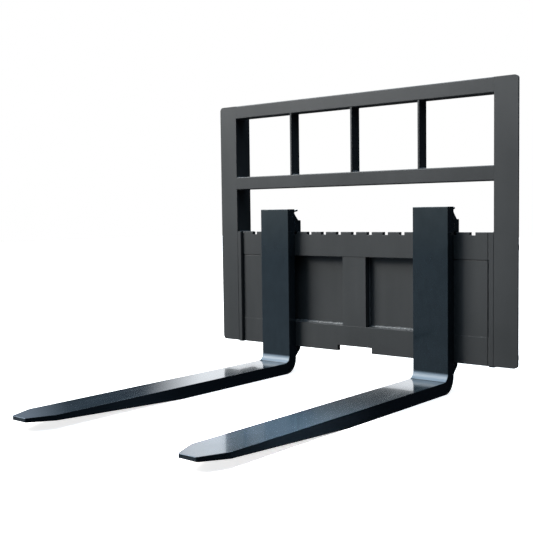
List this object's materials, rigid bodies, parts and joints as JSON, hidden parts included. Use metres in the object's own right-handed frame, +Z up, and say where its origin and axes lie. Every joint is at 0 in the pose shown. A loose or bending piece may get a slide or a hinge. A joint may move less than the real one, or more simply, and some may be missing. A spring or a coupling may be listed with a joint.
{
  "type": "pallet fork attachment",
  "caption": "Angle iron carriage frame with a load guard, two hook-on sliding pallet forks with spring latches, and a quick coupler plate behind.",
  "frame": {"origin": "centre of the coupler plate's rear face", "axes": "+X right seen from in front of the fork tips, +Y from the tips towards the machine, +Z up"},
  "size_m": [1.171, 1.2279, 0.961],
  "materials": {
    "frame_paint": "satin black powder coat",
    "fork_paint": "gloss black paint",
    "zinc_steel": "zinc plated",
    "spring_steel": "oiled spring steel"
  },
  "bodies": {
    "frame": {"top_rail": "frame_paint", "middle_rail": "frame_paint", "upper_carriage_bar": "frame_paint", "lower_carriage_bar": "frame_paint", "centre_post": "frame_paint", "back_panel": "frame_paint", "upper_cross_member": "frame_paint", "lower_cross_member": "frame_paint", "coupler_plate": "frame_paint", "coupler_lip": "frame_paint", "guard_bar_1": "frame_paint", "guard_bar_2": "frame_paint", "guard_bar_3": "frame_paint", "rib_1": "frame_paint", "rib_2": "frame_paint", "rib_3": "frame_paint", "rib_4": "frame_paint", "upright_left": "frame_paint", "end_plate_left": "frame_paint", "side_panel_left": "frame_paint", "coupler_foot_left": "frame_paint", "lip_gusset_left": "frame_paint", "foot_gussets_left": "frame_paint", "upright_right": "frame_paint", "end_plate_right": "frame_paint", "side_panel_right": "frame_paint", "coupler_foot_right": "frame_paint", "lip_gusset_right": "frame_paint", "foot_gussets_right": "frame_paint"},
    "fork_left": {"fork_arm_left": "fork_paint", "upper_hook_left": "fork_paint", "lower_hook_left": "fork_paint", "latch_cap_left": "fork_paint", "latch_spring_left": "spring_steel"},
    "lock_pin_left": {"latch_pin_left": "zinc_steel", "latch_cross_pin_left": "zinc_steel"},
    "handle_left": {"latch_handle_left": "fork_paint"},
    "fork_right": {"fork_arm_right": "fork_paint", "upper_hook_right": "fork_paint", "lower_hook_right": "fork_paint", "latch_cap_right": "fork_paint", "latch_spring_right": "spring_steel"},
    "lock_pin_right": {"latch_pin_right": "zinc_steel", "latch_cross_pin_right": "zinc_steel"},
    "handle_right": {"latch_handle_right": "fork_paint"}
  },
  "joints": [
    {"name": "fork_left_slide", "type": "slide", "parent": "frame", "child": "fork_left", "axis": [1, 0, 0], "range_m": [-0.06205, 0.2482]},
    {"name": "lock_pin_left_drop", "type": "slide", "parent": "fork_left", "child": "lock_pin_left", "axis": [0, 0, 1], "range_m": [-0.011, 0], "deforming": ["latch_spring_left"]},
    {"name": "handle_left_turn", "type": "hinge", "parent": "lock_pin_left", "child": "handle_left", "pos_m": [-0.31025, -0.066, 0.268], "axis": [1, 0, 0], "range_deg": [0, 75]},
    {"name": "fork_right_slide", "type": "slide", "parent": "frame", "child": "fork_right", "axis": [1, 0, 0], "range_m": [-0.2482, 0.06205]},
    {"name": "lock_pin_right_drop", "type": "slide", "parent": "fork_right", "child": "lock_pin_right", "axis": [0, 0, 1], "range_m": [-0.011, 0], "deforming": ["latch_spring_right"]},
    {"name": "handle_right_turn", "type": "hinge", "parent": "lock_pin_right", "child": "handle_right", "pos_m": [0.31025, -0.066, 0.268], "axis": [1, 0, 0], "range_deg": [0, 75]}
  ],
  "couplings": [
    {"joint": "lock_pin_left_drop", "follows": "handle_left_turn", "m_per_rad": -0.0084033},
    {"joint": "lock_pin_right_drop", "follows": "handle_right_turn", "m_per_rad": -0.0084033}
  ]
}
